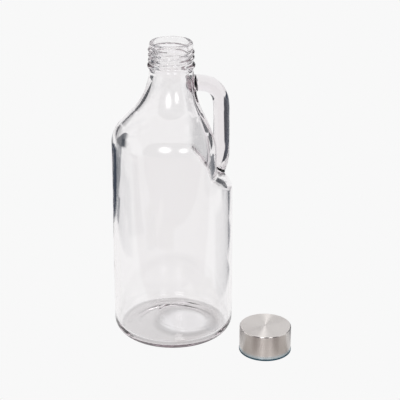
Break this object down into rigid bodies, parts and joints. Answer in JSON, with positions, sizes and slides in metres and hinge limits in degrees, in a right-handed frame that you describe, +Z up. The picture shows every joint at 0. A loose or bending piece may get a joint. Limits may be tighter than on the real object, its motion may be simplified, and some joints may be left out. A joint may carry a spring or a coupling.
{
  "type": "glass beverage bottle",
  "caption": "Clear glass beverage bottle with a loop handle beside its neck, and its brushed steel screw cap lying next to it.",
  "frame": {"origin": "centre of the bottle's flat resting ring, on the surface it stands on", "axes": "+Z up along the bottle's axis, +X towards the handle, the handle lies in the XZ plane, -Y is the side the cap lies on"},
  "size_m": [0.1242, 0.1258, 0.2348],
  "materials": {
    "clear_glass": "clear, fire polished",
    "brushed_steel": "brushed, spun on top",
    "blue_liner": "glossy"
  },
  "bodies": {
    "root": {"glass_bottle": "clear_glass", "cap_shell": "brushed_steel", "cap_liner": "blue_liner"}
  },
  "joints": []
}
